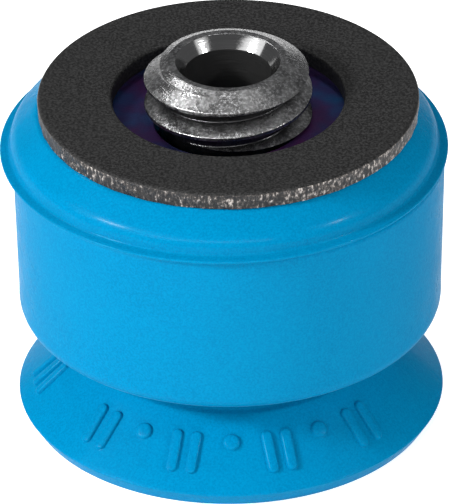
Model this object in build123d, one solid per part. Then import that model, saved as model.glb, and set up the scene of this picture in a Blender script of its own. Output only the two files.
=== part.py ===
from build123d import *
from build123d.topology import SkipClean
import math
import os

# Vacuum suction cup with one and a half bellows folds. Millimetres. +Z runs up the cup's axis.
# The origin is on the axis, in the plane that the sealing lip touches.

# Screw thread, M6 x 1, right hand
thread_d = 5.88
thread_pitch = 1.0
thread_depth = 0.555
thread_root_flat = 0.23
thread_flank_deg = 30.0
groove_start_z = 11.08
thread_sectors = 12
sector_phase_deg = 3.7

# Hollow screw
screw_top_z = 13.79
screw_tip_d = 4.18
screw_tip_chamfer_h = 0.40
bore_d = 3.0
countersink_d = 3.7
countersink_h = 0.45
thread_bottom_z = 11.62
relief_d = 4.7
relief_bottom_z = 10.5
shank_d = 5.2
flange_d = 8.0
flange_h = 1.3
flange_edge_r = 0.2
socket_across_flats = 4.0
socket_depth = 1.0

# Support washer
washer_d = 13.38
washer_hole_d = 8.15
washer_top_z = 12.38
washer_h = 0.62
washer_edge_r = 0.1

# Cup moulding: hub and shoulder
hub_bottom_z = 9.1
recess_d = 8.8
recess_floor_z = 11.4
recess_edge_r = 0.1
shoulder_top_d = 13.1
shoulder_top_r = 0.3
shoulder_d = 14.92
shoulder_edge_z = 10.92
shoulder_r = 0.85
mould_shift_x = -0.165
ledge_d = 15.73
ledge_top_z = 10.42
ledge_h = 0.22
ledge_edge_r = 0.08

# Cup moulding: barrel wall, split at mid height
wall_top_d = 15.16
wall_top_z = 9.95
wall_split_z = 7.0
wall_low_d = 14.88
wall_low_z = 4.9
wall_bottom_z = 3.95
wall_bottom_r = 0.55
wall_t = 0.85

# Cup moulding: fold under the barrel, and waist
fold_outer_d = 13.5
fold_inner_d = 10.2
fold_drop = 0.85
fold_t = 0.75
waist_d = 9.9
waist_z = 2.95
waist_r = 0.12
throat_d = 8.4
throat_r = 0.3

# Cup moulding: sealing lip
lip_d = 15.04
lip_edge_z = 0.56
lip_edge_r = 0.05
lip_land_d = 14.34
lip_land_w = 0.3
skirt_inner_top_z = 2.4

# Raised marks on the lip: a plain row of bars and pips in front, and a short row round the side
mark_count = 7
mark_step_deg = 15.0
mark_height = 0.12
mark_start_d = 11.6
bar_end_d = 14.1
bar_width = 1.1
pip_end_d = 12.8
pip_width = 0.65
side_mark_count = 3
side_mark_first_deg = 78.0
side_mark_step_deg = 5.0
side_mark_width = 0.35


def turned(*corners):
    """A solid of revolution about Z, from corners (radius, z, rounding radius)."""
    points = [(r, 0, z) for r, z, _ in corners]
    outline = FilletPolyline(*points, radius=[c[2] for c in corners], close=True)
    return revolve(make_face(outline), Axis.Z)


def thread_groove():
    """The helical space between the threads. It starts in the relief and runs out over the tip."""
    clear = 0.15
    crest_r = thread_d / 2
    root_r = crest_r - thread_depth
    mouth_r = crest_r + clear
    root_half = thread_root_flat / 2
    mouth_half = root_half + (mouth_r - root_r) * math.tan(math.radians(thread_flank_deg))
    section = make_face(
        Polyline(
            (root_r, 0, groove_start_z - root_half),
            (mouth_r, 0, groove_start_z - mouth_half),
            (mouth_r, 0, groove_start_z + mouth_half),
            (root_r, 0, groove_start_z + root_half),
            close=True,
        )
    )
    groove_h = screw_top_z - groove_start_z + thread_pitch
    path = Helix(thread_pitch, groove_h, crest_r, center=(0, 0, groove_start_z))
    return sweep(section, path, is_frenet=True)


def in_sectors(body):
    """The same solid with its round faces left divided, so that each face of the crest is short."""
    turn = 360 / thread_sectors
    reach = thread_d
    wedge = make_face(
        Polyline(
            (0, 0, relief_bottom_z),
            (reach, 0, relief_bottom_z),
            (reach, reach * math.tan(math.radians(turn)), relief_bottom_z),
            close=True,
        )
    )
    wedge = extrude(wedge, screw_top_z - relief_bottom_z, dir=(0, 0, 1))
    with SkipClean():
        pieces = [
            body & (Rot(0, 0, sector_phase_deg + n * turn) * wedge)
            for n in range(thread_sectors)
        ]
        return pieces[0].fuse(*pieces[1:])


def screw_end():
    """The screw's threaded end above the shank: relief, thread, chamfered tip and bore."""
    end = turned(
        (bore_d / 2, relief_bottom_z, 0),
        (relief_d / 2, relief_bottom_z, 0),
        (relief_d / 2, thread_bottom_z, 0),
        (thread_d / 2, thread_bottom_z, 0),
        (thread_d / 2, screw_top_z - screw_tip_chamfer_h, 0),
        (screw_tip_d / 2, screw_top_z, 0),
        (countersink_d / 2, screw_top_z, 0),
        (bore_d / 2, screw_top_z - countersink_h, 0),
    )
    return in_sectors(end - thread_groove())


def hollow_screw():
    """Hollow screw: threaded end, shank and head flange, with a bore and a hexagon socket."""
    flange_bottom_z = hub_bottom_z - flange_h
    head = turned(
        (bore_d / 2, flange_bottom_z, 0),
        (flange_d / 2, flange_bottom_z, flange_edge_r),
        (flange_d / 2, hub_bottom_z, flange_edge_r),
        (shank_d / 2, hub_bottom_z, 0),
        (shank_d / 2, relief_bottom_z, 0),
        (bore_d / 2, relief_bottom_z, 0),
    )
    hexagon = RegularPolygon(socket_across_flats / 2, 6, major_radius=False)
    head -= Pos(0, 0, flange_bottom_z) * extrude(hexagon, socket_depth)
    end = screw_end()
    with SkipClean():
        return head + end


def support_washer():
    """Flat washer on top of the hub."""
    seat_z = washer_top_z - washer_h
    return turned(
        (washer_hole_d / 2, seat_z, 0),
        (washer_d / 2, seat_z, 0),
        (washer_d / 2, washer_top_z, washer_edge_r),
        (washer_hole_d / 2, washer_top_z, washer_edge_r),
    )


def cup_hub():
    """Top of the moulding: clamped hub, conical shoulder and parting ledge.

    The shoulder and the ledge come from the upper mould half, which sits a little off centre.
    """
    seat_z = washer_top_z - washer_h
    ledge_bottom_z = ledge_top_z - ledge_h
    inner_r = wall_top_d / 2 - wall_t
    corner_r = wall_t / 2
    top = turned(
        (0, ledge_bottom_z, 0),
        (0, seat_z, 0),
        (shoulder_top_d / 2, seat_z, shoulder_top_r),
        (shoulder_d / 2, shoulder_edge_z, shoulder_r),
        (shoulder_d / 2, ledge_top_z, 0),
        (ledge_d / 2, ledge_top_z, ledge_edge_r),
        (ledge_d / 2, ledge_bottom_z, ledge_edge_r),
    )
    base = turned(
        (0, hub_bottom_z, 0),
        (0, ledge_bottom_z, 0),
        (wall_top_d / 2, ledge_bottom_z, 0),
        (wall_top_d / 2, wall_top_z, 0),
        (inner_r, wall_top_z, 0),
        (inner_r - corner_r, hub_bottom_z, corner_r),
    )
    recess = turned(
        (0, recess_floor_z, 0),
        (recess_d / 2, recess_floor_z, recess_edge_r),
        (recess_d / 2, washer_top_z, 0),
        (0, washer_top_z, 0),
    )
    hole = Pos(0, 0, hub_bottom_z) * extrude(Circle(shank_d / 2), washer_top_z - hub_bottom_z)
    return base + Pos(mould_shift_x, 0, 0) * top - recess - hole


def wall_radius(z):
    """Outer radius of the barrel wall, which tapers down to wall_low_z."""
    share = (wall_top_z - z) / (wall_top_z - wall_low_z)
    return (wall_top_d + share * (wall_low_d - wall_top_d)) / 2


def upper_wall():
    """Upper half of the barrel wall."""
    top_r = wall_radius(wall_top_z)
    split_r = wall_radius(wall_split_z)
    return turned(
        (top_r, wall_top_z, 0),
        (split_r, wall_split_z, 0),
        (split_r - wall_t, wall_split_z, 0),
        (top_r - wall_t, wall_top_z, 0),
    )


def fold_corners():
    """The fold's section: outer bottom, inner bottom, inner top and outer top, as (radius, z)."""
    outer_r = fold_outer_d / 2
    inner_r = fold_inner_d / 2
    rise = fold_t
    return (
        (outer_r, wall_bottom_z),
        (inner_r, wall_bottom_z - fold_drop),
        (inner_r, wall_bottom_z - fold_drop + rise),
        (outer_r - rise / 2, wall_bottom_z + rise),
    )


def lower_wall():
    """Lower half of the barrel wall, with its rounded bottom edge."""
    outer_bottom, _, _, outer_top = fold_corners()
    split_r = wall_radius(wall_split_z)
    low_r = wall_radius(wall_low_z)
    return turned(
        (split_r, wall_split_z, 0),
        (low_r, wall_low_z, 0),
        (low_r, wall_bottom_z, wall_bottom_r),
        (*outer_bottom, 0),
        (*outer_top, 0),
        (low_r - wall_t, wall_low_z + wall_t / 2, 0),
        (split_r - wall_t, wall_split_z, 0),
    )


def bellows_fold():
    """The sloping fold between the barrel's bottom edge and the waist."""
    return turned(*[(r, z, 0) for r, z in fold_corners()])


def skirt_point(diameter):
    """Radius and height of the point on the skirt's outer line with this diameter."""
    share = (diameter - waist_d) / (lip_d - waist_d)
    return diameter / 2, waist_z + share * (lip_edge_z - waist_z)


def lip_mark(end_d, width):
    """One raised mark on the front of the skirt, from its start diameter to end_d."""
    in_r, in_z = skirt_point(mark_start_d)
    out_r, out_z = skirt_point(end_d)
    length = math.hypot(out_r - in_r, out_z - in_z)
    lift_r = mark_height * (in_z - out_z) / length
    lift_z = mark_height * (out_r - in_r) / length
    band = turned(
        (in_r, in_z, 0),
        (out_r, out_z, 0),
        (out_r + lift_r, out_z + lift_z, 0),
        (in_r + lift_r, in_z + lift_z, 0),
    )
    front = Pos(0, -lip_d / 2, 0) * Box(width, lip_d, 4 * waist_z)
    return band & front


def sealing_lip():
    """Waist and flared sealing lip, with its flat land and raised marks."""
    _, inner_bottom, inner_top, _ = fold_corners()
    land_r = lip_land_d / 2
    lip = turned(
        (*inner_bottom, 0),
        (waist_d / 2, waist_z, waist_r),
        (lip_d / 2, lip_edge_z, lip_edge_r),
        (land_r, 0, 0),
        (land_r - lip_land_w, 0, 0),
        (throat_d / 2, skirt_inner_top_z, throat_r),
        (throat_d / 2, inner_top[1] - throat_r, throat_r),
        (*inner_top, 0),
    )
    first = -(mark_count - 1) / 2
    pip = lip_mark(pip_end_d, pip_width)
    bar = lip_mark(bar_end_d, bar_width)
    for n in range(mark_count):
        lip += Rot(0, 0, (first + n) * mark_step_deg) * (pip if n % 2 else bar)
    side_mark = lip_mark(bar_end_d, side_mark_width)
    for n in range(side_mark_count):
        lip += Rot(0, 0, -side_mark_first_deg - n * side_mark_step_deg) * side_mark
    return lip


os.makedirs("parts", exist_ok=True)
makers = [
    hollow_screw,
    support_washer,
    cup_hub,
    upper_wall,
    lower_wall,
    bellows_fold,
    sealing_lip,
]
for make in makers:
    export_step(make(), "parts/" + make.__name__ + ".step")
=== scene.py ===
import math
import random

import bmesh
import bpy
from mathutils import Matrix, Vector


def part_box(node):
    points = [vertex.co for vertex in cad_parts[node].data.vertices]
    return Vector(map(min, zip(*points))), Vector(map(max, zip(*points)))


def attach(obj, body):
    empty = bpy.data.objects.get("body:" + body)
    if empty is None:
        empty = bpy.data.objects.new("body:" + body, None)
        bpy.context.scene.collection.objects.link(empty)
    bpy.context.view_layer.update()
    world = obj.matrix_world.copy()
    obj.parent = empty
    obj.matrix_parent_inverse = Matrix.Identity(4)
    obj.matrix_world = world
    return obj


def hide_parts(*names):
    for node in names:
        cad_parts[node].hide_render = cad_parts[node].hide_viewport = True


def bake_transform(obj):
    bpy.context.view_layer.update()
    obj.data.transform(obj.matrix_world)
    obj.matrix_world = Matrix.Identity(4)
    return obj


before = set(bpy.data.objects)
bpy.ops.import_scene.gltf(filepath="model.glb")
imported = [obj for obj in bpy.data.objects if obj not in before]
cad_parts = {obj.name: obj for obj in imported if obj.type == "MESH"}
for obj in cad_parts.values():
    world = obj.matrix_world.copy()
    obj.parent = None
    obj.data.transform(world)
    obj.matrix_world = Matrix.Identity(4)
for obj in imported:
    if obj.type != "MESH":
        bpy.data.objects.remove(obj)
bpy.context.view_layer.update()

# Everything is in metres, in the CAD frame. MM turns the sizes below, in millimetres, into metres.
MM = 0.001
TURN = 2 * math.pi


# ---------------------------------------------------------------- sizes from the frame

def low_high(node):
    """A CAD node's lowest and highest corner, in millimetres."""
    low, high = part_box(node)
    return [c / MM for c in low], [c / MM for c in high]


FOLD_LOW, FOLD_HIGH = low_high("bellows_fold")
LOWER_LOW, _ = low_high("lower_wall")
UPPER_LOW, UPPER_HIGH = low_high("upper_wall")
HUB_LOW, HUB_HIGH = low_high("cup_hub")
WASHER_LOW, WASHER_HIGH = low_high("support_washer")
SCREW_LOW, SCREW_HIGH = low_high("hollow_screw")

LIP_R = 7.52
LIP_EDGE_Z = 0.56
LAND_R = 7.17
LAND_W = 0.3
SKIRT_INNER_TOP_Z = 2.4
THROAT_R = 4.2
WAIST_R = 4.95
WAIST_Z = 2.95

FOLD_OUT_R = FOLD_HIGH[0]
FOLD_IN_R = 5.1
FOLD_T = 0.75
FOLD_TOP_Z = FOLD_HIGH[2]
FOLD_LOW_Z = FOLD_LOW[2]

WALL_T = 0.85
WALL_TOP_Z = UPPER_HIGH[2]
WALL_SPLIT_Z = UPPER_LOW[2]
WALL_LOW_Z = 4.9
WALL_BOTTOM_Z = LOWER_LOW[2]
WALL_TOP_R = UPPER_HIGH[0]
WALL_LOW_R = 7.44
BOTTOM_EDGE_R = 0.55

SEAT_Z = WASHER_LOW[2]
# The upper mould half sat off centre; the ledge stays this far inside the CAD box.
BOX_MARGIN = 0.003
MOULD_SHIFT = (HUB_LOW[0] + HUB_HIGH[0]) / 2
LEDGE_R = (HUB_HIGH[0] - HUB_LOW[0]) / 2 - BOX_MARGIN
LEDGE_TOP_Z = 10.42
LEDGE_H = 0.15
SHOULDER_TOP_R = 6.55
SHOULDER_R = 7.46
SHOULDER_EDGE_Z = 10.92
RECESS_R = 4.4
RECESS_Z = 11.4
HUB_LOW_Z = HUB_LOW[2]
SHANK_R = 2.6

WASHER_R = WASHER_HIGH[0]
WASHER_HOLE_R = 4.075

THREAD_R = 2.94
THREAD_PITCH = 1.0
THREAD_DEPTH = 0.555
THREAD_ROOT_FLAT = 0.23
THREAD_CREST_ROUND = 0.04
GROOVE_Z = 11.08
THREAD_LOW_Z = 11.62
RELIEF_R = 2.35
RELIEF_Z = 10.5
TIP_R = 2.09
TIP_CHAMFER_H = 0.40
BORE_R = 1.5
SINK_R = 1.85
SINK_H = 0.45
SOCKET_FLATS = 4.0
SOCKET_DEPTH = 1.0
FLANGE_R = SCREW_HIGH[0]
SCREW_TOP_Z = SCREW_HIGH[2]
SCREW_LOW_Z = SCREW_LOW[2]


# ---------------------------------------------------------------- mesh helpers

def rounded(corners, closed=True, steps=8):
    """Points (r, z) of an outline given by corners (r, z, rounding), each rounding a true arc."""
    points = []
    count = len(corners)
    for n, (r, z, rounding) in enumerate(corners):
        here = Vector((r, z))
        at_end = not closed and n in (0, count - 1)
        if rounding <= 0 or at_end:
            points.append((r, z))
            continue
        to_last = (Vector(corners[n - 1][:2]) - here).normalized()
        to_next = (Vector(corners[(n + 1) % count][:2]) - here).normalized()
        half = to_last.angle(to_next) / 2
        reach = rounding / math.tan(half)
        centre = here + (to_last + to_next).normalized() * rounding / math.sin(half)
        start = here + to_last * reach - centre
        turn = (here + to_next * reach - centre).angle_signed(start)
        for k in range(steps + 1):
            spoke = Matrix.Rotation(turn * k / steps, 2) @ start
            points.append(tuple(centre + spoke))
    return points


def densified(points, step, closed=True):
    """The same outline with long runs divided, so that no edge is longer than step."""
    out = []
    ends = points[1:] + points[:1] if closed else points[1:]
    for (r0, z0), (r1, z1) in zip(points, ends):
        pieces = max(1, math.ceil(math.hypot(r1 - r0, z1 - z0) / step))
        out += [(r0 + (r1 - r0) * k / pieces, z0 + (z1 - z0) * k / pieces) for k in range(pieces)]
    return out if closed else out + [points[-1]]


def mark_sharp(bm, degrees):
    """Smooth faces, with a crease where two faces meet at more than this angle."""
    for face in bm.faces:
        face.smooth = True
    for edge in bm.edges:
        if len(edge.link_faces) == 2:
            edge.smooth = edge.calc_face_angle(0) < math.radians(degrees)


def finished(name, bm, materials, sharp=38):
    """A new object from a bmesh in millimetres."""
    bmesh.ops.recalc_face_normals(bm, faces=bm.faces)
    mark_sharp(bm, sharp)
    bmesh.ops.scale(bm, vec=(MM, MM, MM), verts=bm.verts)
    mesh = bpy.data.meshes.new(name)
    bm.to_mesh(mesh)
    bm.free()
    for material in materials:
        mesh.materials.append(material)
    piece = bpy.data.objects.new(name, mesh)
    bpy.context.scene.collection.objects.link(piece)
    return piece


def spun(outline, segments, closed=True, shape=None, pick=None):
    """A bmesh of revolution. shape(angle, r, z) may move a point; pick(r, z) numbers its material."""
    bm = bmesh.new()
    rings = []
    for n in range(segments):
        angle = TURN * n / segments
        ring = []
        for r, z in outline:
            x, y, height = r * math.cos(angle), r * math.sin(angle), z
            if shape:
                x, y, height = shape(angle, r, z)
            ring.append(bm.verts.new((x, y, height)))
        rings.append(ring)
    count = len(outline)
    last = count if closed else count - 1
    for n in range(segments):
        a, b = rings[n], rings[(n + 1) % segments]
        for k in range(last):
            m = (k + 1) % count
            face = bm.faces.new((a[k], b[k], b[m], a[m]))
            if pick:
                r = (outline[k][0] + outline[m][0]) / 2
                z = (outline[k][1] + outline[m][1]) / 2
                face.material_index = pick(r, z)
    return bm


# ---------------------------------------------------------------- material helpers

def new_material(name):
    """A node material with its node tree, its shader and its object coordinates."""
    material = bpy.data.materials.new(name)
    material.use_nodes = True
    tree = material.node_tree
    shader = tree.nodes["Principled BSDF"]
    place = tree.nodes.new("ShaderNodeTexCoord")
    return material, tree, shader, place.outputs["Object"]


def noise(tree, where, scale, detail=3.0, rough=0.55, stretch=None):
    """Noise at so many cells a metre, with an optional stretch of the coordinates."""
    node = tree.nodes.new("ShaderNodeTexNoise")
    node.inputs["Scale"].default_value = scale
    node.inputs["Detail"].default_value = detail
    node.inputs["Roughness"].default_value = rough
    if stretch:
        mapping = tree.nodes.new("ShaderNodeMapping")
        mapping.inputs["Scale"].default_value = stretch
        tree.links.new(where, mapping.inputs["Vector"])
        where = mapping.outputs["Vector"]
    tree.links.new(where, node.inputs["Vector"])
    return node.outputs["Fac"]


def ramp(tree, value, stops):
    """Colour ramp: stops are (position, (r, g, b)) or (position, grey)."""
    node = tree.nodes.new("ShaderNodeValToRGB")
    elements = node.color_ramp.elements
    while len(elements) < len(stops):
        elements.new(0.5)
    for element, (position, colour) in zip(elements, stops):
        element.position = position
        rgb = colour if isinstance(colour, tuple) else (colour,) * 3
        element.color = (*rgb, 1)
    tree.links.new(value, node.inputs["Fac"])
    return node.outputs["Color"]


def mapped(tree, value, low, high, from_low=0.3, from_high=0.7):
    """A value spread from its usual range to low..high."""
    node = tree.nodes.new("ShaderNodeMapRange")
    node.inputs["From Min"].default_value = from_low
    node.inputs["From Max"].default_value = from_high
    node.inputs["To Min"].default_value = low
    node.inputs["To Max"].default_value = high
    tree.links.new(value, node.inputs["Value"])
    return node.outputs["Result"]


def maths(tree, operation, a, b=None):
    """One math node on sockets or numbers."""
    node = tree.nodes.new("ShaderNodeMath")
    node.operation = operation
    for socket, value in zip(node.inputs, (a, b)):
        if value is None:
            continue
        if isinstance(value, (int, float)):
            socket.default_value = value
        else:
            tree.links.new(value, socket)
    return node.outputs["Value"]


def mixed(tree, factor, a, b):
    """Two colours mixed by a factor socket; a and b are sockets or (r, g, b)."""
    node = tree.nodes.new("ShaderNodeMix")
    node.data_type = "RGBA"
    tree.links.new(factor, node.inputs[0])
    for socket, value in ((node.inputs[6], a), (node.inputs[7], b)):
        if isinstance(value, tuple):
            socket.default_value = (*value, 1)
        else:
            tree.links.new(value, socket)
    return node.outputs[2]


def bumped(tree, shader, heights):
    """Bump from several (height socket, depth in millimetres), finest last."""
    normal = None
    for height, depth in heights:
        node = tree.nodes.new("ShaderNodeBump")
        node.inputs["Strength"].default_value = 1.0
        node.inputs["Distance"].default_value = depth * MM
        tree.links.new(height, node.inputs["Height"])
        if normal:
            tree.links.new(normal, node.inputs["Normal"])
        normal = node.outputs["Normal"]
    tree.links.new(normal, shader.inputs["Normal"])


def wrapped(tree, where):
    """Cylindrical coordinates about the axis: (arc length at 1 mm a radian, height, radius)."""
    split = tree.nodes.new("ShaderNodeSeparateXYZ")
    tree.links.new(where, split.inputs["Vector"])
    x, y, z = split.outputs
    angle = maths(tree, "ARCTAN2", y, x)
    arc = maths(tree, "MULTIPLY", angle, MM)
    radius = maths(tree, "SQRT", maths(tree, "ADD", maths(tree, "MULTIPLY", x, x),
                                       maths(tree, "MULTIPLY", y, y)))
    join = tree.nodes.new("ShaderNodeCombineXYZ")
    for socket, value in zip(join.inputs, (arc, z, radius)):
        tree.links.new(value, socket)
    return join.outputs["Vector"]


# ---------------------------------------------------------------- materials

def cup_material():
    """Blue moulded polyurethane: satin skin with a fine moulded grain and faint mottling."""
    material, tree, shader, place = new_material("blue_polyurethane")
    grain = noise(tree, place, 14000, 2.0)
    soft = noise(tree, place, 450, 3.0)
    patch = noise(tree, place, 1300, 4.0, 0.65)
    base = ramp(tree, mapped(tree, soft, 0, 1), [(0.0, (0.0, 0.131, 0.275)), (1.0, (0.0, 0.143, 0.296))])
    dusted = ramp(tree, grain, [(0.36, 0.0), (0.64, 0.75)])
    colour = mixed(tree, dusted, base, (0.0, 0.180, 0.355))
    tree.links.new(colour, shader.inputs["Base Color"])
    tree.links.new(mapped(tree, patch, 0.22, 0.46), shader.inputs["Roughness"])
    shader.inputs["IOR"].default_value = 1.5
    shader.inputs["Specular IOR Level"].default_value = 0.004
    shader.inputs["Coat Weight"].default_value = 0.045
    shader.inputs["Coat Roughness"].default_value = 0.16
    shader.inputs["Sheen Weight"].default_value = 0.08
    shader.inputs["Sheen Roughness"].default_value = 0.18
    shader.inputs["Sheen Tint"].default_value = (0.85, 0.80, 1.0, 1.0)
    bumped(tree, shader, [(patch, 0.030), (grain, 0.007)])
    return material


def recess_material():
    """The same moulding in the recess round the screw, with painted shade: dark navy to purple-black in
    place of the deep shadow in the recess.
    """
    material, tree, shader, place = new_material("recess_painted_shade")
    shade_mottle = noise(tree, place, 500, 3.0)
    grain = noise(tree, place, 12000, 2.0)
    # Painted shade: mottled dark navy to purple-black, much darker than the rest of the moulding, for
    # the shadowed recess floor and wall.
    base = ramp(tree, mapped(tree, shade_mottle, 0, 1), [
        (0.0, (0.012, 0.060, 0.160)), (0.5, (0.030, 0.028, 0.100)), (1.0, (0.070, 0.014, 0.070))])
    tree.links.new(base, shader.inputs["Base Color"])
    tree.links.new(mapped(tree, grain, 0.35, 0.55), shader.inputs["Roughness"])
    shader.inputs["Specular IOR Level"].default_value = 0.10
    bumped(tree, shader, [(grain, 0.006)])
    return material


def washer_material():
    """Black oxide on the washer's flat faces: matt, with a fine rolled grain."""
    material, tree, shader, place = new_material("black_oxide")
    grain = noise(tree, place, 11000, 3.0, 0.65)
    patch = noise(tree, place, 900, 3.0)
    base = ramp(tree, mapped(tree, patch, 0, 1), [(0.0, 0.0072), (1.0, 0.0102)])
    speck = ramp(tree, grain, [(0.42, 0.0), (0.62, 1.0)])
    tree.links.new(mixed(tree, speck, base, (0.030, 0.030, 0.030)), shader.inputs["Base Color"])
    tree.links.new(mapped(tree, grain, 0.50, 0.66), shader.inputs["Roughness"])
    shader.inputs["IOR"].default_value = 1.45
    shader.inputs["Specular IOR Level"].default_value = 0.16
    bumped(tree, shader, [(grain, 0.006)])
    return material


def sheared_material():
    """Bare steel on the washer's punched rim: torn, streaked across its thickness."""
    material, tree, shader, place = new_material("sheared_steel")
    around = wrapped(tree, place)
    streak = noise(tree, around, 1000, 4.0, 0.6, (60, 3.2, 0.01))
    torn = noise(tree, place, 6500, 4.0, 0.7)
    patch = noise(tree, around, 1000, 2.0, 0.5, (1.6, 0.8, 0.01))
    rough = maths(tree, "ADD", maths(tree, "MULTIPLY", streak, 0.5), maths(tree, "MULTIPLY", torn, 0.5))
    dark = maths(tree, "ADD", rough, mapped(tree, patch, -0.045, 0.035, 0.35, 0.65))
    base = ramp(tree, dark, [
        (0.43, (0.004, 0.003, 0.003)), (0.49, (0.013, 0.012, 0.011)), (0.55, (0.070, 0.060, 0.054)),
        (0.62, (0.42, 0.38, 0.35))])
    tree.links.new(base, shader.inputs["Base Color"])
    shader.inputs["Metallic"].default_value = 0.2
    tree.links.new(mapped(tree, torn, 0.42, 0.62), shader.inputs["Roughness"])
    bumped(tree, shader, [(torn, 0.04), (streak, 0.02)])
    return material


def steel_material():
    """Bright turned steel on the screw: turning lines, rough glinting flanks, and painted shade in the
    thread roots.
    """
    material, tree, shader, place = new_material("turned_steel")
    around = wrapped(tree, place)
    lines = noise(tree, around, 1000, 3.0, 0.6, (0.8, 40, 40))
    glint = noise(tree, place, 9000, 3.0, 0.7)
    wear = noise(tree, place, 1500, 3.0)
    worn = ramp(tree, mapped(tree, wear, 0, 1), [(0.0, 0.15), (1.0, 0.32)])
    bright = ramp(tree, glint, [(0.46, 0.0), (0.66, 0.9)])
    clean = mixed(tree, bright, worn, (0.66, 0.66, 0.67))
    split = tree.nodes.new("ShaderNodeSeparateXYZ")
    tree.links.new(around, split.inputs["Vector"])
    # Painted shade: the base colour goes dark grey in the thread roots, below 2.68 mm radius and under
    # the tip chamfer, for the shade between the flanks.
    in_root = mapped(tree, split.outputs["Z"], 1.0, 0.0, 2.42 * MM, 2.68 * MM)
    below_tip = mapped(tree, split.outputs["Y"], 1.0, 0.0, 13.20 * MM, 13.35 * MM)
    root_shade = maths(tree, "MULTIPLY", in_root, below_tip)
    tree.links.new(mixed(tree, root_shade, clean, (0.05, 0.05, 0.052)), shader.inputs["Base Color"])
    shader.inputs["Metallic"].default_value = 1.0
    tree.links.new(mapped(tree, wear, 0.20, 0.34), shader.inputs["Roughness"])
    bumped(tree, shader, [(lines, 0.008), (glint, 0.011)])
    return material


def polished_material():
    """Burnished steel in the countersink and bore."""
    material, tree, shader, place = new_material("burnished_steel")
    lines = noise(tree, wrapped(tree, place), 1000, 2.0, 0.5, (0.5, 60, 60))
    tree.links.new(ramp(tree, lines, [(0.3, 0.27), (0.7, 0.33)]), shader.inputs["Base Color"])
    shader.inputs["Metallic"].default_value = 1.0
    tree.links.new(mapped(tree, lines, 0.07, 0.14), shader.inputs["Roughness"])
    bumped(tree, shader, [(lines, 0.0012)])
    return material


def drilled_material():
    """Drilled bore wall, dulled by oil: dark, rough and faintly grooved."""
    material, tree, shader, place = new_material("drilled_steel")
    lines = noise(tree, wrapped(tree, place), 1000, 3.0, 0.6, (1.0, 30, 30))
    tree.links.new(ramp(tree, lines, [(0.3, 0.004), (0.7, 0.010)]), shader.inputs["Base Color"])
    shader.inputs["Specular IOR Level"].default_value = 0.3
    tree.links.new(mapped(tree, lines, 0.45, 0.65), shader.inputs["Roughness"])
    bumped(tree, shader, [(lines, 0.01)])
    return material


def floor_material():
    """Plain white sheet of a light table, glowing a little from below."""
    material, tree, shader, place = new_material("light_table")
    tooth = noise(tree, place, 900, 3.0)
    tree.links.new(ramp(tree, tooth, [(0.3, 0.86), (0.7, 0.885)]), shader.inputs["Base Color"])
    shader.inputs["Roughness"].default_value = 0.9
    shader.inputs["Emission Color"].default_value = (1, 1, 1, 1)
    shader.inputs["Emission Strength"].default_value = 0.6
    return material


CUP = cup_material()
RECESS_SHADE = recess_material()
BLACK = washer_material()
SHEARED = sheared_material()
STEEL = steel_material()
POLISHED = polished_material()
DRILLED = drilled_material()
PAPER = floor_material()


# ---------------------------------------------------------------- cup moulding

def wall_r(z):
    """Outer radius of the tapered barrel wall."""
    share = (WALL_TOP_Z - z) / (WALL_TOP_Z - WALL_LOW_Z)
    return WALL_TOP_R + share * (WALL_LOW_R - WALL_TOP_R)


def hub_piece():
    """Hub, recess, rolled shoulder and parting ledge, down to the barrel wall."""
    inner_r = WALL_TOP_R - WALL_T
    outline = rounded([
        (SHANK_R, HUB_LOW_Z, 0),
        (SHANK_R, RECESS_Z, 0.08),
        (RECESS_R, RECESS_Z, 0.12),
        (RECESS_R, SEAT_Z, 0.12),
        (SHOULDER_TOP_R, SEAT_Z, 0.30),
        (SHOULDER_R, SHOULDER_EDGE_Z, 0.85),
        (SHOULDER_R + 0.08, LEDGE_TOP_Z + 0.02, 0.11),
        (LEDGE_R, LEDGE_TOP_Z - 0.05, 0.05),
        (LEDGE_R - 0.01, LEDGE_TOP_Z - LEDGE_H, 0.05),
        (WALL_TOP_R + 0.02, LEDGE_TOP_Z - LEDGE_H - 0.05, 0.05),
        (WALL_TOP_R + 0.004, WALL_TOP_Z + 0.02, 0),
        (WALL_TOP_R, WALL_TOP_Z, 0),
        (inner_r, WALL_TOP_Z, 0),
        (inner_r - WALL_T / 2, HUB_LOW_Z, 0.42),
    ])

    def shape(angle, r, z):
        """The upper mould half sat a little off centre, so the shoulder and the ledge do too."""
        x, y = r * math.cos(angle), r * math.sin(angle)
        past = 0.0
        if z > WALL_TOP_Z + 0.02:
            past = min(1.0, max(0.0, (r - RECESS_R - 0.4) / (SHOULDER_TOP_R - RECESS_R - 0.4)))
            past *= min(1.0, (z - WALL_TOP_Z - 0.02) / 0.2)
        return x + MOULD_SHIFT * past, y, z

    def pick(r, z):
        """The floor and the wall of the recess get the painted-shade material."""
        return 1 if r < RECESS_R + 0.05 and z > RECESS_Z - 0.1 else 0

    bm = spun(densified(outline, 0.2), 360, shape=shape, pick=pick)
    piece = finished("cup_hub_skin", bm, [CUP, RECESS_SHADE], 50)
    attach(piece, "mount")
    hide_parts("cup_hub")
    return piece


def upper_wall_piece():
    """Upper barrel wall."""
    outline = [
        (WALL_TOP_R, WALL_TOP_Z),
        (wall_r(WALL_SPLIT_Z), WALL_SPLIT_Z),
        (wall_r(WALL_SPLIT_Z) - WALL_T, WALL_SPLIT_Z),
        (WALL_TOP_R - WALL_T, WALL_TOP_Z),
    ]
    bm = spun(densified(outline, 0.15), 288)
    piece = finished("upper_wall_skin", bm, [CUP])
    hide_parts("upper_wall")
    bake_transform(piece)
    return piece


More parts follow.
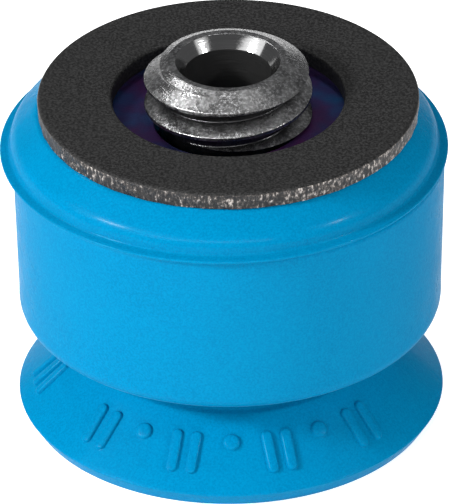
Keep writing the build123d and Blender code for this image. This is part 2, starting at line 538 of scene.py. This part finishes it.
def lower_wall_piece():
    """Lower barrel wall and its rounded bottom edge."""
    outline = rounded([
        (wall_r(WALL_SPLIT_Z), WALL_SPLIT_Z, 0),
        (WALL_LOW_R, WALL_LOW_Z, 0),
        (WALL_LOW_R, WALL_BOTTOM_Z, BOTTOM_EDGE_R),
        (FOLD_OUT_R, WALL_BOTTOM_Z, 0),
        (FOLD_OUT_R - FOLD_T / 2, FOLD_TOP_Z, 0),
        (WALL_LOW_R - WALL_T, WALL_LOW_Z + WALL_T / 2, 0.4),
        (wall_r(WALL_SPLIT_Z) - WALL_T, WALL_SPLIT_Z, 0),
    ])
    bm = spun(densified(outline, 0.15), 288)
    piece = finished("lower_wall_skin", bm, [CUP], 50)
    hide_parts("lower_wall")
    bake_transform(piece)
    return piece


def fold_pieces():
    """The fold's outside and inside faces."""
    rise = FOLD_T
    under = [(FOLD_OUT_R, WALL_BOTTOM_Z), (FOLD_IN_R, FOLD_LOW_Z)]
    inside = [(FOLD_IN_R, FOLD_LOW_Z + rise), (FOLD_OUT_R - rise / 2, FOLD_TOP_Z)]
    for name, line, top_z, low_z in (
        ("fold_outside_skin", under, WALL_BOTTOM_Z, FOLD_LOW_Z),
        ("fold_inside_skin", inside, FOLD_TOP_Z, FOLD_LOW_Z + rise),
    ):
        bm = spun(densified(line, 0.06, closed=False), 288, closed=False)
        piece = finished(name, bm, [CUP])
        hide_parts("bellows_fold")
        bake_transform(piece)


SKIRT_TOP = Vector((WAIST_R, WAIST_Z))
SKIRT_EDGE = Vector((LIP_R, LIP_EDGE_Z))
SKIRT_RUN = (SKIRT_EDGE - SKIRT_TOP).normalized()
SKIRT_OUT = Vector((-SKIRT_RUN.y, SKIRT_RUN.x))
STEP_R = 5.24
STEP_H = 0.05


def lip_piece():
    """Waist and flared lip: a faint step below the waist, a bevelled rim and a flat land."""
    step_at = SKIRT_TOP + SKIRT_RUN * (STEP_R - WAIST_R) / SKIRT_RUN.x
    step_low = step_at + SKIRT_RUN * STEP_H * 3
    sunk = SKIRT_OUT * -STEP_H
    outline = rounded([
        (FOLD_IN_R, FOLD_LOW_Z, 0),
        (*(SKIRT_TOP + sunk), 0.12),
        (*(step_at + sunk), 0.12),
        (*step_low, 0.12),
        (LIP_R, LIP_EDGE_Z, 0.06),
        (LAND_R, 0, 0.02),
        (LAND_R - LAND_W, 0, 0.05),
        (THROAT_R, SKIRT_INNER_TOP_Z, 0.3),
        (THROAT_R, FOLD_LOW_Z + FOLD_T - 0.3, 0.3),
        (FOLD_IN_R, FOLD_LOW_Z + FOLD_T, 0),
    ])
    bm = spun(densified(outline, 0.2), 288)
    piece = finished("sealing_lip_skin", bm, [CUP], 50)
    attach(piece, "lip")
    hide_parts("sealing_lip")
    return piece


# ---------------------------------------------------------------- raised marks on the lip

MARK_STEP_DEG = 15.0
MARK_COUNT = 7
MARK_H = 0.13
MARK_START_R = 5.8
BAR_END_R = 7.05
PIP_END_R = 6.42
BAR_HALF_W = 0.20
PIP_HALF_W = 0.31
BAR_SPREAD = 0.34
SIDE_COUNT = 3
SIDE_FIRST_DEG = 78.0
SIDE_STEP_DEG = 5.0
SIDE_HALF_W = 0.16


def raised_stroke(bm, angle, across, start_r, end_r, half_w):
    """One raised bar with round ends, down the skirt from start_r to end_r, set across by so many mm."""
    around = 10
    start, end = start_r + half_w, end_r - half_w
    rim = []
    for n in range(around + 1):
        turn = math.pi * n / around
        rim.append((half_w * math.cos(turn), -half_w * math.sin(turn), start))
    for n in range(around + 1):
        turn = math.pi * n / around
        rim.append((-half_w * math.cos(turn), half_w * math.sin(turn), end))
    profile = [(1.18, -0.03), (1.0, 0.02), (0.92, 0.62), (0.80, 0.90), (0.62, 1.0), (0.0, 1.0)]
    rings = []
    for share, height in profile:
        ring = []
        for w, s, middle in rim:
            r = middle + s * share * SKIRT_RUN.x
            on_skirt = SKIRT_TOP + SKIRT_RUN * (r - WAIST_R) / SKIRT_RUN.x
            point = on_skirt + SKIRT_OUT * MARK_H * height
            turn = angle + (across + w * share) / r
            ring.append(bm.verts.new((point.x * math.cos(turn), point.x * math.sin(turn), point.y)))
        rings.append(ring)
    count = len(rim)
    for low, high in zip(rings, rings[1:]):
        for k in range(count):
            m = (k + 1) % count
            bm.faces.new((low[k], low[m], high[m], high[k]))
    bm.faces.new(list(reversed(rings[0])))


def marks_piece():
    """A plain row of paired bars and round pips, and a short row of bars further round."""
    bm = bmesh.new()
    front = -math.pi / 2
    first = -(MARK_COUNT - 1) / 2
    for n in range(MARK_COUNT):
        angle = front + math.radians((first + n) * MARK_STEP_DEG)
        if n % 2:
            raised_stroke(bm, angle, 0, MARK_START_R, PIP_END_R, PIP_HALF_W)
        else:
            for side in (-BAR_SPREAD, BAR_SPREAD):
                raised_stroke(bm, angle, side, MARK_START_R, BAR_END_R, BAR_HALF_W)
    for n in range(SIDE_COUNT):
        angle = front - math.radians(SIDE_FIRST_DEG + n * SIDE_STEP_DEG)
        raised_stroke(bm, angle, 0, MARK_START_R, BAR_END_R, SIDE_HALF_W)
    bmesh.ops.remove_doubles(bm, verts=bm.verts, dist=0.0005)
    piece = finished("lip_marks", bm, [CUP], 60)
    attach(piece, "lip")
    return piece


# ---------------------------------------------------------------- washer

def washer_piece():
    """Punched washer: rolled-over top edges, torn rim, and a bore with the same black finish."""
    rng = random.Random(11)
    waves = [(rng.randint(9, 60), rng.uniform(0, TURN), rng.uniform(0.3, 1.0)) for _ in range(14)]
    outline = rounded([
        (WASHER_HOLE_R, WASHER_LOW[2], 0.05),
        (WASHER_R - 0.03, WASHER_LOW[2], 0.03),
        (WASHER_R, WASHER_HIGH[2], 0.13),
        (WASHER_HOLE_R, WASHER_HIGH[2], 0.10),
    ])
    rim_top = WASHER_HIGH[2] - 0.10

    def shape(angle, r, z):
        """The torn rim wanders in and out by a hundredth of a millimetre or two."""
        if r > WASHER_R - 0.06 and z < rim_top:
            wander = sum(size * math.sin(lobes * angle + phase + 9 * z) for lobes, phase, size in waves)
            r -= 0.012 + 0.004 * wander
        return r * math.cos(angle), r * math.sin(angle), z

    def pick(r, z):
        return 1 if r > WASHER_R - 0.07 and z < WASHER_HIGH[2] - 0.07 else 0

    bm = spun(densified(outline, 0.08), 480, shape=shape, pick=pick)
    piece = finished("washer_disc", bm, [BLACK, SHEARED])
    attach(piece, "mount")
    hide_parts("support_washer")
    return piece


# ---------------------------------------------------------------- hollow screw

def thread_profile():
    """One pitch of the thread as (height, radius), starting at the middle of the groove's root."""
    half = THREAD_PITCH / 2
    root_half = THREAD_ROOT_FLAT / 2
    crest_half = half - root_half - THREAD_DEPTH * math.tan(math.radians(30))
    root_r = THREAD_R - THREAD_DEPTH
    corners = [
        (root_r, -root_half - 0.5, 0),
        (root_r, root_half, 0.05),
        (THREAD_R, half - crest_half, THREAD_CREST_ROUND),
        (THREAD_R, half + crest_half, THREAD_CREST_ROUND),
        (root_r, THREAD_PITCH - root_half, 0.05),
        (root_r, THREAD_PITCH + 0.5, 0),
    ]
    line = [(z, r) for r, z in rounded(corners, closed=False, steps=5)]
    inside = [(z, r) for z, r in line if 0 < z < THREAD_PITCH]
    out = [(0.0, root_r)]
    for z, r in inside:
        gap = z - out[-1][0]
        pieces = max(1, math.ceil(gap / 0.07))
        z0, r0 = out[-1]
        out += [(z0 + gap * k / pieces, r0 + (r - r0) * k / pieces) for k in range(1, pieces + 1)]
    return out


def threaded_rod(segments=360):
    """A solid rod with the helical thread running right through it, to be cut to the screw's outline."""
    rows = thread_profile()
    turns = 5
    base = GROOVE_Z - 1.6 * THREAD_PITCH
    base += (GROOVE_Z - base) % THREAD_PITCH - THREAD_PITCH
    bm = bmesh.new()
    columns = []
    for n in range(segments):
        angle = TURN * n / segments
        rise = THREAD_PITCH * n / segments
        column = []
        for turn in range(turns + 1):
            for z, r in rows:
                height = base + turn * THREAD_PITCH + z + rise
                column.append(bm.verts.new((r * math.cos(angle), r * math.sin(angle), height)))
        columns.append(column)
    per_turn = len(rows)
    for n in range(segments):
        here = columns[n]
        if n < segments - 1:
            there, shift = columns[n + 1], 0
        else:
            there, shift = columns[0], per_turn
        for k in range(len(here) - 1 - shift):
            bm.faces.new((here[k], there[k + shift], there[k + shift + 1], here[k + 1]))
    # plug both helical ends, which lie outside the screw's own length
    low = bm.verts.new((0, 0, base - THREAD_PITCH))
    top = bm.verts.new((0, 0, base + (turns + 1.5) * THREAD_PITCH))
    for edge in [e for e in bm.edges if e.is_boundary]:
        end = low if edge.verts[0].co.z < (low.co.z + top.co.z) / 2 else top
        bm.faces.new((edge.verts[0], edge.verts[1], end))
    bmesh.ops.recalc_face_normals(bm, faces=bm.faces)
    return bm


def screw_outline():
    """Section of the exposed screw end, from the relief up to the tip and back down the bore."""
    return rounded([
        (RELIEF_R, RELIEF_Z, 0),
        (RELIEF_R, THREAD_LOW_Z, 0),
        (THREAD_R + 0.3, THREAD_LOW_Z, 0),
        (THREAD_R + 0.3, SCREW_TOP_Z - TIP_CHAMFER_H - 0.3 * TIP_CHAMFER_H / (THREAD_R - TIP_R), 0),
        (TIP_R, SCREW_TOP_Z, 0.10),
        (SINK_R, SCREW_TOP_Z, 0.05),
        (BORE_R, SCREW_TOP_Z - SINK_H, 0.05),
        (BORE_R, RELIEF_Z, 0),
    ], steps=5)


def raw_object(name, bm):
    """A plain object for a boolean step, still in millimetres."""
    mesh = bpy.data.meshes.new(name)
    bm.to_mesh(mesh)
    bm.free()
    thing = bpy.data.objects.new(name, mesh)
    bpy.context.scene.collection.objects.link(thing)
    return thing


def joined(name, a, b, operation):
    """The boolean of two raw objects, as a bmesh; both objects are removed."""
    modifier = a.modifiers.new("cut", "BOOLEAN")
    modifier.operation = operation
    modifier.solver = "EXACT"
    modifier.object = b
    bpy.context.view_layer.update()
    evaluated = a.evaluated_get(bpy.context.evaluated_depsgraph_get())
    bm = bmesh.new()
    bm.from_mesh(evaluated.to_mesh())
    evaluated.to_mesh_clear()
    for thing in (a, b):
        bpy.data.objects.remove(thing)
    return bm


def thread_piece():
    """Exposed end of the screw: M6 thread cut to the chamfered tip, with the countersunk bore."""
    bm = joined("thread", raw_object("rod", threaded_rod()), raw_object("outline", spun(
        densified(screw_outline(), 0.2), 360)), "INTERSECT")
    for face in bm.faces:
        middle = face.calc_center_median()
        r = math.hypot(middle.x, middle.y)
        face.material_index = 2 if r < BORE_R + 0.01 else 1 if r < SINK_R - 0.01 else 0
    bmesh.ops.remove_doubles(bm, verts=bm.verts, dist=0.0005)
    piece = finished("screw_thread", bm, [STEEL, POLISHED, DRILLED], 32)
    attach(piece, "mount")
    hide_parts("hollow_screw")
    return piece


def shank_piece():
    """Hidden end of the screw: shank through the hub, head flange and hexagon socket."""
    outline = rounded([
        (BORE_R, SCREW_LOW_Z + SOCKET_DEPTH, 0),
        (SOCKET_FLATS / 2 / math.cos(math.pi / 6) + 0.2, SCREW_LOW_Z + SOCKET_DEPTH, 0),
        (SOCKET_FLATS / 2 / math.cos(math.pi / 6) + 0.2, SCREW_LOW_Z, 0.08),
        (FLANGE_R, SCREW_LOW_Z, 0.2),
        (FLANGE_R, HUB_LOW_Z, 0.2),
        (SHANK_R, HUB_LOW_Z, 0),
        (SHANK_R, RELIEF_Z, 0),
        (BORE_R, RELIEF_Z, 0),
    ])
    socket_r = outline[1][0]

    def shape(angle, r, z):
        """The socket's round wall is drawn in to a hexagon."""
        if abs(r - socket_r) < 0.1 and z < SCREW_LOW_Z + SOCKET_DEPTH + 0.01:
            facet = (angle + math.pi / 6) % (math.pi / 3) - math.pi / 6
            r += SOCKET_FLATS / 2 / math.cos(facet) - socket_r
        return r * math.cos(angle), r * math.sin(angle), z

    bm = spun(densified(outline, 0.3), 288, shape=shape)
    piece = finished("screw_head", bm, [STEEL], 25)
    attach(piece, "mount")
    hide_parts("hollow_screw")
    return piece


# ---------------------------------------------------------------- floor, light and camera

def floor():
    """A large pale sheet under the lip."""
    bm = bmesh.new()
    half, drop = 900, 0.02
    square = ((-half, -half), (half, -half), (half, half), (-half, half))
    corners = [bm.verts.new((x, y, -drop)) for x, y in square]
    bm.faces.new(corners)
    bmesh.ops.scale(bm, vec=(MM, MM, MM), verts=bm.verts)
    mesh = bpy.data.meshes.new("floor")
    bm.to_mesh(mesh)
    bm.free()
    mesh.materials.append(PAPER)
    sheet = bpy.data.objects.new("floor", mesh)
    bpy.context.scene.collection.objects.link(sheet)


def direction(azimuth, elevation):
    """Unit vector; azimuth is in degrees to the right of the viewer's side, -Y."""
    a, e = math.radians(azimuth), math.radians(elevation)
    return Vector((math.sin(a) * math.cos(e), -math.cos(a) * math.cos(e), math.sin(e)))


def softbox(name, azimuth, elevation, distance, width, height, power):
    """A rectangular area light that faces the cup."""
    light = bpy.data.lights.new(name, "AREA")
    light.shape = "RECTANGLE"
    light.size = width
    light.size_y = height
    light.energy = power
    lamp = bpy.data.objects.new(name, light)
    way = direction(azimuth, elevation)
    lamp.location = Vector((0, 0, 7 * MM)) + way * distance
    lamp.rotation_euler = way.to_track_quat("Z", "Y").to_euler()
    bpy.context.scene.collection.objects.link(lamp)


def studio():
    """Azimuth and elevation in degrees, distance, width and height in metres, power in watts.

    Softboxes with brighter middles on both sides, a front fill, lights from behind and above,
    and a pale surround.
    """
    softbox("key_left", -60, 31, 0.50, 0.53, 0.24, 0.9)
    softbox("key_left_middle", -64, 31, 0.49, 0.11, 0.05, 2.6)
    softbox("fill_right", 66, 31, 0.50, 0.22, 0.24, 0.24)
    softbox("fill_right_middle", 64, 31, 0.49, 0.05, 0.035, 0.80)
    softbox("front_fill", -8, 28, 0.52, 0.60, 0.08, 1.25)
    softbox("back_left", -133, 53, 0.55, 0.12, 0.12, 0.50)
    softbox("top_right", 125, 74, 0.55, 0.20, 0.20, 0.12)
    softbox("top", 0, 80, 0.55, 0.20, 0.14, 0.28)
    world = bpy.data.worlds.new("studio")
    bpy.context.scene.world = world
    world.use_nodes = True
    surround = world.node_tree.nodes["Background"]
    surround.inputs["Color"].default_value = (0.97, 0.98, 1.0, 1)
    surround.inputs["Strength"].default_value = 0.18
    bpy.context.scene.view_settings.view_transform = "Standard"


VIEW_ELEVATION = 31.66
VIEW_DISTANCE = 430 * MM
VIEW_ROLL = -0.61
AIM = Vector((-0.17, 0, 5.94)) * MM
LENS = 872.0


def camera():
    """Long lens, looking down at the cup from the front, with a slight roll."""
    data = bpy.data.cameras.new("camera")
    data.lens = LENS
    data.sensor_width = 36
    data.clip_start = 0.01
    eye = bpy.data.objects.new("camera", data)
    way = direction(0, VIEW_ELEVATION)
    eye.location = AIM + way * VIEW_DISTANCE
    look = way.to_track_quat("Z", "Y").to_matrix()
    eye.rotation_euler = (look @ Matrix.Rotation(math.radians(VIEW_ROLL), 3, "Z")).to_euler()
    bpy.context.scene.collection.objects.link(eye)
    bpy.context.scene.camera = eye


hub_piece()
upper_wall_piece()
lower_wall_piece()
fold_pieces()
lip_piece()
marks_piece()
washer_piece()
thread_piece()
shank_piece()
floor()
studio()
camera()
